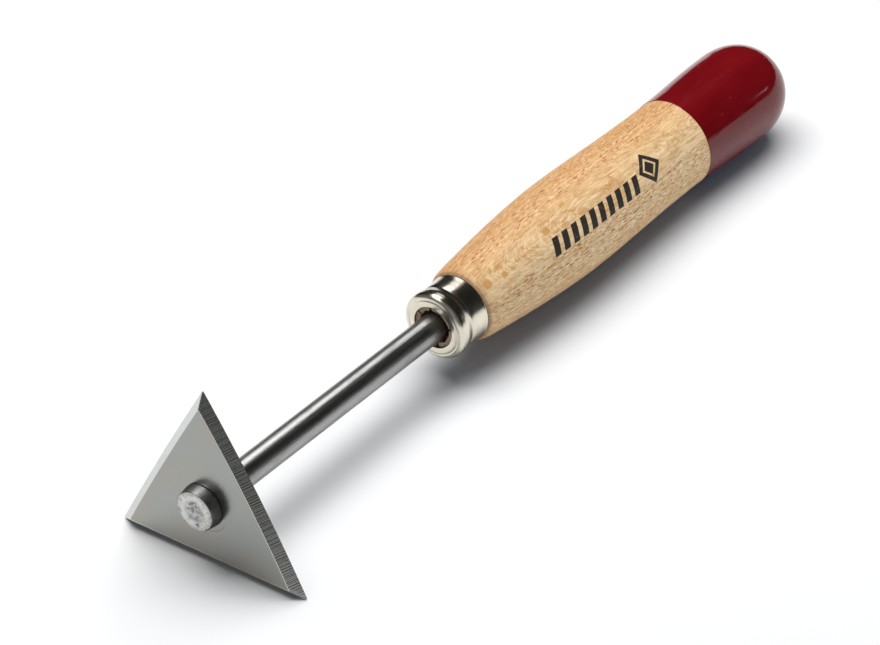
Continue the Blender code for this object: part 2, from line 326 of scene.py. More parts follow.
class Nodes:
    """A material's nodes, made and linked one call at a time."""

    def __init__(self, name):
        self.material = bpy.data.materials.new(name)
        self.material.use_nodes = True
        self.tree = self.material.node_tree
        self.shader = self.tree.nodes["Principled BSDF"]

    def add(self, kind, inputs=None, **settings):
        node = self.tree.nodes.new(kind)
        for key, value in settings.items():
            setattr(node, key, value)
        for key, value in (inputs or {}).items():
            self.put(node.inputs[key], value)
        return node

    def put(self, socket, value):
        if isinstance(value, bpy.types.NodeSocket):
            self.tree.links.new(value, socket)
        else:
            socket.default_value = value

    def finish(self, **values):
        """Sets the shader's sockets, with _ for the spaces in their names."""
        for key, value in values.items():
            self.put(self.shader.inputs[key.replace("_", " ")], value)
        return self.material

    def millimetres(self):
        """Coordinates along the tool's own axis, in millimetres: the placement undone."""
        inputs = {
            "Vector": self.add("ShaderNodeTexCoord").outputs["Object"],
            "Location": PLACEMENT.to_translation(),
            "Rotation": PLACEMENT.to_euler(),
            "Scale": (MM, MM, MM),
        }
        return self.add("ShaderNodeMapping", inputs, vector_type="TEXTURE").outputs[0]

    def rolled(self, vector, degrees):
        """The vector turned about X."""
        rotation = (math.radians(degrees), 0, 0)
        return self.add("ShaderNodeMapping", {"Vector": vector, "Rotation": rotation}).outputs[0]

    def scaled(self, vector, scale, turn=0.0):
        """The vector turned about X by some degrees, then divided into cells of these sizes."""
        sizes = tuple(1 / s for s in scale)
        vector = self.rolled(vector, turn)
        return self.add("ShaderNodeMapping", {"Vector": vector, "Scale": sizes}).outputs[0]

    def noise(self, vector, detail=2.0, roughness=0.5, output="Fac"):
        inputs = {"Vector": vector, "Scale": 1.0, "Detail": detail, "Roughness": roughness}
        return self.add("ShaderNodeTexNoise", inputs).outputs[output]

    def cells(self, vector):
        """The distance to the nearest of the points scattered one to a cell."""
        inputs = {"Vector": vector, "Scale": 1.0}
        return self.add("ShaderNodeTexVoronoi", inputs).outputs["Distance"]

    def ramp(self, value, low, high, to_low=0.0, to_high=1.0):
        """Smoothly from one number to another as the value goes from low to high."""
        inputs = {
            "Value": value,
            "From Min": low,
            "From Max": high,
            "To Min": to_low,
            "To Max": to_high,
        }
        node = self.add("ShaderNodeMapRange", inputs, interpolation_type="SMOOTHSTEP")
        return node.outputs["Result"]

    def band(self, value, start, full, ebb, end):
        """Rises from 0 at start to 1 at full, and falls from 1 at ebb to 0 at end."""
        return self.times(self.ramp(value, start, full), self.ramp(value, end, ebb))

    def math(self, operation, first, second=0.0):
        return self.add("ShaderNodeMath", {0: first, 1: second}, operation=operation).outputs[0]

    def times(self, first, second):
        return self.math("MULTIPLY", first, second)

    def plus(self, first, second):
        return self.math("ADD", first, second)

    def minus(self, first, second):
        return self.math("SUBTRACT", first, second)

    def radial(self, y, z):
        """The distance from the X axis."""
        return self.math("SQRT", self.plus(self.times(y, y), self.times(z, z)))

    def toward(self, y, z, angle):
        """How far out a place is in the direction of this angle about the X axis."""
        return self.plus(self.times(y, math.cos(angle)), self.times(z, math.sin(angle)))

    def vector(self, operation, first, second, output=0):
        inputs = {0: first, 1: second}
        return self.add("ShaderNodeVectorMath", inputs, operation=operation).outputs[output]

    def split(self, vector):
        return self.add("ShaderNodeSeparateXYZ", {0: vector}).outputs

    def joined(self, **axes):
        return self.add("ShaderNodeCombineXYZ", axes).outputs[0]

    def mix(self, factor, first, second):
        node = self.add("ShaderNodeMix", data_type="RGBA")
        for socket, value in ((0, factor), (6, first), (7, second)):
            if isinstance(value, tuple):
                value = (*value, 1)
            self.put(node.inputs[socket], value)
        return node.outputs[2]

    def paint(self, under, mask, strength, over):
        """One colour over another, as strong as this where the mask is 1."""
        return self.mix(self.times(mask, strength), under, over)

    def bump(self, height, distance, strength, normal=None):
        inputs = {"Height": height, "Distance": distance, "Strength": strength}
        if normal:
            inputs["Normal"] = normal
        return self.add("ShaderNodeBump", inputs).outputs[0]


def blade_material():
    """Satin ground steel: a mottled face, and bevels with fine lines ground across them, with
    painted light and shade.
    """
    n = Nodes("ground_steel")
    place = n.millimetres()
    x, y, z = n.split(place)
    front = -BLADE_THICKNESS / MM

    cloud = n.noise(n.scaled(place, (9, 11, 11)), detail=3)
    fine = n.noise(n.scaled(place, (0.35, 0.35, 0.35)), detail=3)
    face = n.mix(n.ramp(cloud, 0.36, 0.64), (0.315, 0.326, 0.308), (0.335, 0.326, 0.296))
    warm = n.times(n.ramp(z, -4, -16), n.ramp(cloud, 0.3, 0.6))
    face = n.paint(face, warm, 0.5, (0.345, 0.32, 0.272))
    face = n.mix(n.ramp(fine, 0.3, 0.7, 0.0, 0.10), face, (0.62, 0.62, 0.60))

    left, left_lines = grinding(n, place, LEFT_FACING)
    right, right_lines = grinding(n, place, RIGHT_FACING)
    lower, lower_lines = grinding(n, place, LOWER_FACING)
    on_left = n.math("GREATER_THAN", left, n.math("MAXIMUM", right, lower))
    on_right = n.math("GREATER_THAN", right, n.math("MAXIMUM", left, lower))
    # The bevels are ground alike. The left one is painted lighter (painted light) and the right one
    # darker (painted shade), for how the light falls on them.
    ground = n.mix(lower_lines, (0.30, 0.30, 0.29), (0.50, 0.50, 0.48))
    left_bevel_painted_light = n.mix(left_lines, (0.55, 0.575, 0.565), (0.63, 0.655, 0.645))
    right_bevel_painted_shade = n.mix(right_lines, (0.195, 0.20, 0.19), (0.32, 0.325, 0.31))
    ground = n.mix(on_right, n.mix(on_left, ground, left_bevel_painted_light), right_bevel_painted_shade)
    on_bevel = n.band(x, front + 0.015, front + 0.04, -0.02, -0.005)

    # Painted highlight: a light line on the face along its lower border.
    border = (BLADE_INRADIUS - BEVEL_WIDTH) / MM
    face = n.mix(n.ramp(lower, border - 0.26, border - 0.14, 0.0, 0.8), face, (0.80, 0.80, 0.76))
    reach = n.radial(y, z)
    away = n.math("ABSOLUTE", n.minus(reach, RING_RADIUS / MM))
    pressed = n.ramp(n.math("DIVIDE", n.toward(y, z, RING_PRESSED), reach), 0.84, 0.97)
    ring = n.times(n.ramp(away, 0.17, 0.05), pressed)
    face = n.paint(face, ring, 0.55, (0.13, 0.125, 0.115))

    colour = n.mix(on_bevel, face, ground)
    # Painted highlight: a light line on the small arris between the face and the bevels, all round.
    arris_highlight = n.band(x, front + 0.003, front + 0.015, front + 0.04, front + 0.10)
    colour = n.paint(colour, arris_highlight, 0.8, (0.78, 0.77, 0.70))
    grain = n.noise(n.scaled(place, (0.10, 0.10, 0.10)), detail=2)
    lines = n.mix(on_right, left_lines, right_lines)
    relief = n.bump(n.times(lines, on_bevel), 0.0003, 0.11, n.bump(grain, 0.0002, 0.06))
    rough = n.ramp(cloud, 0.3, 0.7, 0.21, 0.27)
    return n.finish(Base_Color=colour, Metallic=1.0, Roughness=rough, Normal=relief)


def grinding(n, place, facing):
    """For the edge that faces this way: the distance out towards it, and lines across it."""
    a = math.radians(facing)
    outward, along = (0, math.cos(a), math.sin(a)), (0, -math.sin(a), math.cos(a))
    centred = n.vector("SUBTRACT", place, (0, *(BLADE_OFFSET / MM)))
    out, run = [n.vector("DOT_PRODUCT", centred, axis, "Value") for axis in (outward, along)]
    lines = n.noise(n.scaled(n.joined(X=run), (LINE_SIZE, 1, 1)), detail=0)
    return out, n.ramp(lines, 0.36, 0.64)


def shaft_material():
    """Dull drawn bar with lengthwise streaks and scuffs, and a bright, mottled hammered head."""
    n = Nodes("drawn_steel")
    place = n.millimetres()
    x, y, z = n.split(place)

    streaks = n.noise(n.scaled(place, (30, 0.35, 0.35)), detail=4, roughness=0.6)
    cloud = n.noise(n.scaled(place, (9, 3, 3)), detail=3)
    bar = n.mix(n.ramp(streaks, 0.3, 0.7), (0.30, 0.302, 0.292), (0.42, 0.42, 0.405))
    bar = n.mix(n.ramp(cloud, 0.5, 0.75, 0.0, 0.6), bar, (0.21, 0.205, 0.19))
    spots = n.cells(n.scaled(place, (1.3, 0.9, 0.9)))
    bar = n.mix(n.ramp(spots, 0.08, 0.16, 0.6, 0.0), bar, (0.05, 0.045, 0.04))
    scuffs = n.noise(n.scaled(place, (4.5, 0.7, 0.7)), detail=3, roughness=0.65)
    near_blade = n.ramp(x, 16, 1)
    worn = n.times(n.ramp(scuffs, 0.5, 0.62), near_blade)
    bar = n.paint(bar, worn, 0.7, (0.45, 0.44, 0.42))

    blotch = n.noise(n.scaled(place, (3.0, 1.7, 1.7)), detail=4, roughness=0.6)
    pitted = n.noise(n.scaled(place, (0.6, 0.5, 0.5)), detail=3, roughness=0.6)
    reach = n.radial(y, z)
    head = n.mix(n.ramp(pitted, 0.40, 0.62), (0.55, 0.55, 0.53), (0.46, 0.46, 0.44))
    crown = n.band(reach, 2.9, 3.9, 4.5, 5.3)
    head = n.paint(head, crown, 0.5, (0.76, 0.76, 0.72))
    core = n.times(n.ramp(blotch, 0.46, 0.54), n.ramp(reach, 3.3, 2.1))
    head = n.paint(head, core, 0.80, (0.24, 0.25, 0.245))
    low = n.ramp(n.plus(y, z), -2.5, -5.0)
    speckled = n.times(n.ramp(pitted, 0.47, 0.57), low)
    head = n.paint(head, speckled, 0.6, (0.26, 0.26, 0.25))

    face = HEAD_FACE / MM
    side = n.mix(n.ramp(blotch, 0.35, 0.65), (0.24, 0.235, 0.23), (0.31, 0.31, 0.31))
    head = n.mix(n.ramp(x, face + 0.10, face + 0.50), head, side)
    # A dark line painted round the rounded edge of the head's face.
    dark_rim_line = n.band(x, face + 0.05, face + 0.12, face + 0.24, face + 0.38)
    head = n.paint(head, dark_rim_line, 0.80, (0.08, 0.075, 0.07))
    blade_front = -BLADE_THICKNESS / MM
    on_head = n.ramp(x, blade_front + 0.2, blade_front - 0.2)

    rough = n.ramp(streaks, 0.3, 0.7, 0.29, 0.37)
    rough = n.plus(rough, n.times(on_head, 0.08))
    dents = n.bump(n.times(blotch, on_head), 0.0006, 0.15, n.bump(streaks, 0.0002, 0.10))
    colour = n.mix(on_head, bar, head)
    return n.finish(Base_Color=colour, Metallic=1.0, Roughness=rough, Normal=dents)


def ferrule_material():
    """Polished nickel plate with a faint warm cast and faint rubbing marks round it."""
    n = Nodes("nickel_plate")
    place = n.millimetres()
    cloud = n.noise(n.scaled(place, (4, 4, 4)), detail=3)
    rub = n.noise(n.scaled(place, (0.5, 6, 6)), detail=4, roughness=0.7)
    colour = n.mix(n.ramp(cloud, 0.35, 0.65), (0.77, 0.72, 0.60), (0.69, 0.645, 0.54))
    rough = n.ramp(rub, 0.35, 0.75, 0.18, 0.27)
    marks = n.bump(rub, 0.0003, 0.10)
    return n.finish(Base_Color=colour, Metallic=1.0, Roughness=rough, Normal=marks)


def beech_material():
    """Steamed beech: rays that show as dashes or as broad flakes, end grain, a print, and painted
    light and shade.
    """
    n = Nodes("beech")
    place = n.millimetres()
    place_x, y, z = n.split(place)
    drift = n.noise(n.scaled(place, (24, 9, 9)), detail=1, output="Color")
    bent = n.vector("ADD", place, n.vector("SUBTRACT", drift, (0.5, 0.5, 0.5)))
    turn = 90 - RAY_DIRECTION
    facing = n.rolled(bent, turn)
    x, side, depth = n.split(facing)
    reach = n.radial(side, depth)
    broadside = n.math("DIVIDE", depth, reach)
    level = n.math("DIVIDE", GRAIN_RADIUS, reach)
    grain = n.joined(X=x, Y=n.times(side, level), Z=n.times(depth, level))

    broad = n.noise(n.scaled(grain, (60, 5, 2.4)), detail=3, roughness=0.55)
    wood = n.mix(n.ramp(broad, 0.3, 0.7), (0.655, 0.395, 0.19), (0.59, 0.332, 0.14))
    streaks = n.noise(n.scaled(grain, (22, 1.6, 0.6)), detail=3, roughness=0.6)
    wood = n.mix(n.ramp(streaks, 0.45, 0.70, 0.0, 0.60), wood, (0.59, 0.29, 0.095))
    wood = n.mix(n.ramp(streaks, 0.45, 0.25, 0.0, 0.35), wood, (0.83, 0.58, 0.33))
    fibres = n.noise(n.scaled(grain, (18.0, 0.7, 0.22)), detail=3, roughness=0.6)
    wood = n.mix(n.ramp(fibres, 0.51, 0.64, 0.0, 0.42), wood, (0.54, 0.235, 0.055))
    wood = n.mix(n.ramp(fibres, 0.49, 0.36, 0.0, 0.42), wood, (0.95, 0.64, 0.34))

    # Cut across, the rays are dashes, which fade out where the rays show broadside
    fade = n.minus(1.0, n.times(n.ramp(broadside, 0.86, 0.97), 0.8))
    for size, threshold, strength, tone in (
        ((3.9, 1.6, 0.44), 0.27, 1.00, (0.30, 0.080, 0.006)),
        ((2.9, 1.5, 0.32), 0.30, 0.90, (0.37, 0.115, 0.010)),
        ((2.4, 1.4, 0.22), 0.34, 0.60, (0.42, 0.150, 0.020)),
        # This pale set is painted highlight: light specks for the rays' relief catching the light.
        ((3.0, 1.8, 0.30), 0.31, 0.60, (1.0, 0.72, 0.40)),
    ):
        dashes = n.ramp(n.cells(n.scaled(grain, size)), threshold * 0.7, threshold, strength, 0.0)
        wood = n.mix(n.times(dashes, fade), wood, tone)

    # Broadside they are flakes, with layers of growth across them and flecks round them
    zone = n.ramp(broadside, 0.84, 0.96)
    fleck = n.noise(n.scaled(bent, (1.8, 1.2, 0.12), turn), detail=3, roughness=0.6)
    flake = n.noise(n.scaled(bent, (8.0, 3.6, 0.9), turn), detail=2, roughness=0.55)
    layers = n.noise(n.scaled(bent, (4.5, 2.0, 0.05), turn), detail=2, roughness=0.6)
    flake_edge = n.times(n.band(flake, 0.40, 0.46, 0.48, 0.54), zone)
    for mask, strength, tone in (
        (n.times(n.ramp(flake, 0.47, 0.53), zone), 0.35, (0.88, 0.59, 0.30)),
        (n.times(n.ramp(layers, 0.50, 0.62), zone), 0.45, (0.58, 0.28, 0.08)),
        (n.times(n.ramp(layers, 0.48, 0.36), zone), 0.45, (0.95, 0.67, 0.36)),
        (n.times(n.ramp(fleck, 0.52, 0.58), flake_edge), 0.75, (0.52, 0.235, 0.06)),
    ):
        wood = n.paint(wood, mask, strength, tone)

    for spot_x, spot_side, long, wide in SPOTS:
        off_x, off_side, _ = n.split(n.vector("SUBTRACT", facing, (spot_x, spot_side, 0)))
        along, across = [
            n.math("POWER", n.math("ABSOLUTE", n.math("DIVIDE", off, half)), 4.0)
            for off, half in ((off_x, long), (off_side, wide))
        ]
        ragged = n.plus(n.plus(along, across), n.minus(fleck, 0.5))
        inside = n.times(n.ramp(ragged, 1.35, 0.45), n.math("GREATER_THAN", depth, 0.0))
        wood = n.paint(wood, inside, 0.75, (0.54, 0.235, 0.05))

    pores = n.noise(n.scaled(place, (1.6, 0.16, 0.16)), detail=2)
    wood = n.mix(n.ramp(pores, 0.52, 0.72, 0.0, 0.30), wood, (0.42, 0.20, 0.06))
    nose = NOSE_FRONT / MM
    end_grain = n.ramp(place_x, nose + 2.6, nose + 1.6)
    wood = n.mix(end_grain, wood, torn_wood(n, place, nose))
    # Painted shade: the wood darkened just behind the ferrule's rear edge, where the two meet.
    shoulder = SHOULDER_PLACE / MM
    shoulder_shade = n.ramp(place_x, shoulder + 0.6, shoulder, 0.0, 0.55)
    wood = n.mix(shoulder_shade, wood, (0.30, 0.15, 0.09))

    flaws = n.ramp(n.noise(n.scaled(place, (1.2, 0.22, 0.22)), detail=2), 0.27, 0.32, 0.6, 1.0)
    ink = n.times(print_mask(n, place), flaws)
    wood = n.paint(wood, ink, 0.97, (0.009, 0.008, 0.008))
    rough = n.minus(n.ramp(pores, 0.3, 0.7, 0.48, 0.60), n.times(ink, 0.08))
    relief = n.bump(pores, 0.0003, 0.14)
    return n.finish(Base_Color=wood, Roughness=rough, Normal=relief, Specular_IOR_Level=0.22)


def torn_wood(n, place, nose):
    """The end grain round the shaft, splintered and split by the tang, with painted shade in its
    hollows and along the splits.
    """
    x, y, z = n.split(place)
    splinters = n.noise(n.scaled(place, (0.9, 0.35, 0.35)), detail=3, roughness=0.7)
    torn = n.mix(n.ramp(splinters, 0.35, 0.65), (0.62, 0.49, 0.31), (0.95, 0.82, 0.60))
    # Painted shade: dark where the end grain lies deeper, in the ragged mouth and the splits.
    torn = n.mix(n.ramp(x, nose + 0.4, nose + 1.2), torn, (0.05, 0.03, 0.02))
    # Painted shade along each split.
    for degrees, _, width in SPLITS:
        angle = math.radians(degrees)
        across = n.math("ABSOLUTE", n.toward(y, z, angle + math.pi / 2))
        ahead = n.math("GREATER_THAN", n.toward(y, z, angle), 0.0)
        split_shade = n.times(n.ramp(across, width * 1.7, width), ahead)
        torn = n.paint(torn, split_shade, 0.85, (0.04, 0.025, 0.02))
    return torn


def print_mask(n, place):
    """A plain printed pattern: a row of slanting bars, then a hollow square on its corner."""
    x, y, z = n.split(place)
    turn = n.minus(n.math("ARCTAN2", z, y), math.radians(PRINT_MIDDLE))
    across = n.times(turn, n.radial(y, z))

    def within(value, middle, half, blur):
        return n.ramp(n.math("ABSOLUTE", n.minus(value, middle)), half + blur, half - blur)

    length = PRINT_END - PRINT_START
    run = n.minus(n.plus(x, n.times(across, PRINT_SLANT)), PRINT_START)
    cell = n.math("FRACT", n.math("DIVIDE", run, length / PRINT_BARS))
    bars = within(cell, 0.5, BAR_SHARE / 2, 0.02)
    bars = n.times(bars, within(across, 0.0, PRINT_HEIGHT / 2, 0.06))
    bars = n.times(bars, within(run, length / 2, length / 2, 0.06))

    off_x = n.math("ABSOLUTE", n.minus(x, BADGE_PLACE))
    square = n.plus(off_x, n.math("ABSOLUTE", n.plus(across, BADGE_SHIFT)))
    badge = n.ramp(square, BADGE_REACH + PRINT_BLUR, BADGE_REACH - PRINT_BLUR)
    near, far = BADGE_HOLLOW
    hollow = n.band(
        square, near - PRINT_BLUR, near + PRINT_BLUR, far - PRINT_BLUR, far + PRINT_BLUR
    )
    return n.math("MAXIMUM", bars, n.minus(badge, hollow))


def lacquer_material():
    """Deep red dipped lacquer over grain that just shows through its gloss."""
    n = Nodes("red_lacquer")
    place = n.millimetres()
    cloud = n.noise(n.scaled(place, (14, 6, 6)), detail=2)
    colour = n.mix(n.ramp(cloud, 0.3, 0.7), (0.155, 0.003, 0.0055), (0.185, 0.004, 0.008))
    dust = n.cells(n.scaled(place, (3.2, 3.2, 3.2)))
    colour = n.mix(n.ramp(dust, 0.035, 0.05, 0.6, 0.0), colour, (0.45, 0.12, 0.12))
    ripple = n.noise(n.scaled(place, (6.0, 1.4, 1.4)), detail=2)
    peel = n.bump(ripple, 0.0006, 0.10)
    specks = n.bump(n.ramp(dust, 0.03, 0.06, 1.0, 0.0), 0.0002, 0.5, peel)
    rough = n.ramp(ripple, 0.3, 0.7, 0.07, 0.12)
    return n.finish(Base_Color=colour, Roughness=rough, Normal=specks, Specular_IOR_Level=0.42)


# ---------------------------------------------------------------- blade


def direction(degrees):
    """The unit vector at this angle in the blade's plane, as (y, z)."""
    angle = math.radians(degrees)
    return Vector((math.cos(angle), math.sin(angle)))


def blade_outline(inradius):
    """The triangle's outline as (y, z) points: bowed edges between three small round tips."""
    reach = 2 * inradius - TIP_RADIUS / math.sin(math.radians(30))
    centres = [reach * direction(a) for a in (-30, 90, 210)]
    outline = []
    for corner, (centre, crown) in enumerate(zip(centres, (LEFT_CROWN, RIGHT_CROWN, 0))):
        facing = -30 + 120 * corner
        for i in range(TIP_STEPS + 1):
            outline.append(centre + TIP_RADIUS * direction(facing - 60 + 120 * i / TIP_STEPS))
        outward = direction(facing + 60)
        start = centre + TIP_RADIUS * outward
        end = centres[(corner + 1) % 3] + TIP_RADIUS * outward
        for i in range(1, EDGE_STEPS):
            u = i / EDGE_STEPS
            outline.append(start.lerp(end, u) + outward * crown * 4 * u * (1 - u))
    return outline


def ring_mark(y, z):
    """How deep the faint round mark of the riveting tool is pressed at a place on the face."""
    place = Vector((y, z)) - BLADE_OFFSET
    away = place.length - RING_RADIUS
    angle = math.atan2(place.y, place.x)
    pressed = max(0.0, math.cos(angle - RING_PRESSED)) ** 3
    return RING_DEPTH * pressed * math.exp(-((away / RING_WIDTH) ** 2))


def make_blade():
    """Lofted from the tenon's hole out over the face and the bevels, and back to the hole."""
    thickness = BLADE_THICKNESS
    face_inradius = BLADE_INRADIUS - BEVEL_WIDTH
    edge, face, inside = [
        [point + BLADE_OFFSET for point in blade_outline(inradius)]
        for inradius in (BLADE_INRADIUS, face_inradius, face_inradius - ARRIS)
    ]

    def circle(radius):
        return [radius * point.normalized() for point in edge]

    def blended(near, far, u):
        return [a.lerp(b, u) for a, b in zip(near, far)]

    hole = circle(TENON_RADIUS + HOLE_GAP)
    rows = [[(0.0, p) for p in hole], [(-thickness, p) for p in hole]]
    radii = [5.6, 6.4] + [6.7 + 0.06 * i for i in range(38)]  # in mm, close over the ring mark
    for radius in radii:
        rows.append([(-thickness + ring_mark(*p), p) for p in circle(radius * MM)])
    outer_circle = circle(radii[-1] * MM)
    steps = 12
    for i in range(1, steps + 1):
        rows.append([(-thickness, p) for p in blended(outer_circle, inside, i / steps)])
    lift = ARRIS * BLADE_THICKNESS / BEVEL_WIDTH
    rows.append([(-thickness + lift / 2, p) for p in blended(inside, face, 0.8)])
    for u in (0.03, 0.35, 0.68, 1.0):
        rows.append([(-thickness + (thickness - EDGE_LAND) * u, p) for p in blended(face, edge, u)])
    rows.append([(0.0, p) for p in edge])
    rows.append([(0.0, p) for p in blended(edge, hole, 0.5)])
    vertices = [(x, *point) for row in rows for x, point in row]
    count = len(edge)
    faces = []
    for r in range(len(rows)):
        near, far = r * count, (r + 1) % len(rows) * count
        for k in range(count):
            j = (k + 1) % count
            faces.append([near + k, near + j, far + j, far + k])
    return add_piece("blade_plate", vertices, faces, blade_material(), "blade", sharp=20)


# ---------------------------------------------------------------- shaft


def head_shape(x, radius, angle):
    """Hammered unevenness on the head's face and rim. It only ever sinks below the CAD face."""
    if x > -BLADE_THICKNESS - 0.1 * MM:
        return x, radius
    spot = Vector((radius * math.cos(angle), radius * math.sin(angle), 0)) / MM
    dents = noise.fractal(spot * 0.55, 1.0, 2.0, 3) + 0.5 * noise.noise(spot * 1.9)
    depth = max(0.0, 1 - (x - HEAD_FACE) / (1.0 * MM))
    sunk = (0.05 + 0.07 * dents) * MM * depth
    rim = 0.06 * noise.noise(Vector((3 * math.cos(angle), 3 * math.sin(angle), 4))) * MM
    return x + max(0.0, sunk), radius + rim * min(1.0, radius / HEAD_FACE_RADIUS)


def make_shaft():
    """From the middle of the head's face over its side and foot, and along the bar to the tang,
    whose wings are left out because the handle hides them."""
    flat = HEAD_FACE_RADIUS - HEAD_ROUNDING
    blade_front = -BLADE_THICKNESS
    outline = [(HEAD_FACE, 0.0)]
    outline += spread((HEAD_FACE, 0.0), (HEAD_FACE, flat), 26)
    outline += arc((HEAD_FACE + HEAD_ROUNDING, flat), HEAD_ROUNDING, 180, 95, 7)[1:]
    outline += spread(outline[-1], (blade_front - 0.35 * MM, HEAD_BASE_RADIUS), 8)
    outline += [
        (blade_front - 0.12 * MM, HEAD_BASE_RADIUS - 0.10 * MM),
        (blade_front - HAIR / 2, HEAD_BASE_RADIUS - 0.35 * MM),
        (blade_front - HAIR / 2, TENON_RADIUS),
        (HAIR, TENON_RADIUS),
        (HAIR, SHAFT_RADIUS - SHAFT_CHAMFER),
        (HAIR + SHAFT_CHAMFER, SHAFT_RADIUS),
    ]
    outline += spread(outline[-1], (TANG_END - TANG_TAPER, SHAFT_RADIUS), 40)
    outline += [(TANG_END, TANG_TIP_RADIUS), (TANG_END, 0.0)]
    vertices, faces = turned(outline, SHAFT_SIDES, head_shape)
    return add_piece("shaft_bar", vertices, faces, shaft_material(), "shaft", sharp=40)


# ---------------------------------------------------------------- ferrule


def hand_pressed(x, radius, angle):
    """Faint dents in the thin sheet, which ruffle what it reflects."""
    place = Vector((x, radius * math.cos(angle), radius * math.sin(angle))) / MM
    dent = 0.010 * noise.noise(place * 0.42) + 0.004 * noise.noise(place * 1.1)
    return x, radius + (dent - 0.008) * MM


def make_ferrule():
    """The lip of the hole, the flat face, a step down to the full rim, the groove behind it, and
    the skirt with its rolled rear edge. The inside follows the handle's nose."""
    front = FERRULE_FRONT + HAIR / 2
    rear = FERRULE_FRONT + FERRULE_LENGTH
    outline = arc((front + HOLE_LIP, FERRULE_HOLE_RADIUS + HOLE_LIP), HOLE_LIP, 270, 180, 6)
    face_edge = (front, FERRULE_FACE_RADIUS)
    outline += spread(outline[-1], face_edge, 4)
    outline += spread(face_edge, (front + FACE_STEP, STEP_RADIUS - 0.06 * MM), 8, ease)
    steps = 24
    for i in range(1, steps + 1):
        a = math.radians(90 * i / steps)
        along = FACE_STEP / 2 + (RIM_START - FACE_STEP / 2) * (1 - math.cos(a))
        outline.append((front + along, STEP_RADIUS + (RIM_RADIUS - STEP_RADIUS) * math.sin(a)))
    rim_end = (FERRULE_FRONT + RIM_END, RIM_RADIUS)
    groove = FERRULE_FRONT + GROOVE_PLACE
    outline += spread(outline[-1], rim_end, 3)
    steps = 16
    for i in range(1, steps + 1):
        along = groove + (rim_end[0] - groove) * (1 - i / steps)
        outline.append((along, RIM_RADIUS + (GROOVE_RADIUS - RIM_RADIUS) * ease(i / steps)))
    roll = rear - ROLL_WIDTH
    steps = 26
    for i in range(1, steps + 1):
        along = (roll - groove) * (i / steps) ** 1.5
        rise = (SKIRT_RADIUS - GROOVE_RADIUS) * (1 - math.exp(-along / SKIRT_RISE))
        flare = SKIRT_FLARE * along / (roll - groove)
        outline.append((groove + along, GROOVE_RADIUS + rise + flare))
    steps = 12
    for i in range(1, steps + 1):
        bulge = ROLL_HEIGHT * math.sin(math.pi * i / steps)
        outline.append((roll + ROLL_WIDTH * i / steps, SKIRT_RADIUS + SKIRT_FLARE + bulge))
    outline.append((rear, INNER_RADIUS))
    corner = (NOSE_FRONT + INNER_ROUNDING, INNER_RADIUS - INNER_ROUNDING)
    outline += arc(corner, INNER_ROUNDING, 90, 180, 8)
    outline.append((NOSE_FRONT, FERRULE_HOLE_RADIUS))
    vertices, faces = turned(outline, FERRULE_SIDES, hand_pressed, closed=True)
    finish = ferrule_material()
    return add_piece("ferrule_cap", vertices, faces, finish, "ferrule", sharp=50)


# ---------------------------------------------------------------- handle


def handle_radius(x):
    """The turned outline behind the ferrule, from the shoulder to the blunt round end."""
    if x < BELLY_PLACE:
        u = (BELLY_PLACE - x) / (BELLY_PLACE - SHOULDER_PLACE)
        v = min(max(1 - (x - SHOULDER_PLACE) / SHOULDER_ROUNDING, 0), 1)
        radius = BELLY_RADIUS - (BELLY_RADIUS - SHOULDER_RADIUS) * u**BELLY_FULLNESS
        return radius - SHOULDER_DROP * (1 - math.sqrt(1 - v * v))
    if x < WAIST_PLACE:
        u = (x - BELLY_PLACE) / (WAIST_PLACE - BELLY_PLACE)
        return BELLY_RADIUS + (WAIST_RADIUS - BELLY_RADIUS) * ease(u)
    if x < SWELL_PLACE:
        u = (x - WAIST_PLACE) / (SWELL_PLACE - WAIST_PLACE)
        return WAIST_RADIUS + (SWELL_RADIUS - WAIST_RADIUS) * ease(u)
    u = min((x - SWELL_PLACE) / (BUTT_END - SWELL_PLACE), 1)
    return SWELL_RADIUS * (1 - u**BUTT_ALONG) ** (1 / BUTT_ACROSS)


def stretch(start, end, steps, inset=0.0):
    """Points of the turned outline, both ends included, sunk by the inset."""
    places = [start + (end - start) * i / steps for i in range(steps + 1)]
    return [(x, handle_radius(x) - inset) for x in places]


def butt_outline(inset=0.0):
    """From the lacquer's edge to the end on the axis, with closer points round the butt."""
    steps = 40
    outline = stretch(LACQUER_EDGE, SWELL_PLACE, steps, inset)
    for i in range(1, steps):
        u = math.sin(math.pi / 2 * i / steps)
        x = SWELL_PLACE + (BUTT_END - inset - SWELL_PLACE) * u
        full = SWELL_PLACE + (BUTT_END - SWELL_PLACE) * u
        outline.append((x, handle_radius(full) - inset))
    outline.append((BUTT_END - inset, 0.0))
    return outline


def nose_shape(x, radius, angle):
    """The nose's end round the tang: a ragged mouth, splinters and radial splits."""
    on_end = x <= NOSE_FRONT + 0.05 * MM
    if not on_end or radius < BORE_RADIUS - 0.01 * MM or radius > END_GRAIN_RADIUS:
        return x, radius
    around = Vector((math.cos(angle), math.sin(angle), 0))
    depth = 0.0
    for place, deep, width in SPLITS:
        off = (math.degrees(angle) - place + 180) % 360 - 180
        across = abs(math.radians(off)) * radius / MM
        depth = max(depth, deep * math.exp(-((across / width) ** 4)))
    mouth = MOUTH_RADIUS + 0.35 * noise.noise(around * 3.1) + 0.15 * noise.noise(around * 9.0)
    fall = min(1.0, max(0.0, (mouth - radius / MM) / 0.35 + 0.5))
    depth = max(depth, 3.0 * fall * fall * (3 - 2 * fall))
    rough = 0.12 * (1 + noise.noise(around * 6.0 + Vector((0, 0, radius / MM * 1.2))))
    return x + (depth + rough) * MM, radius


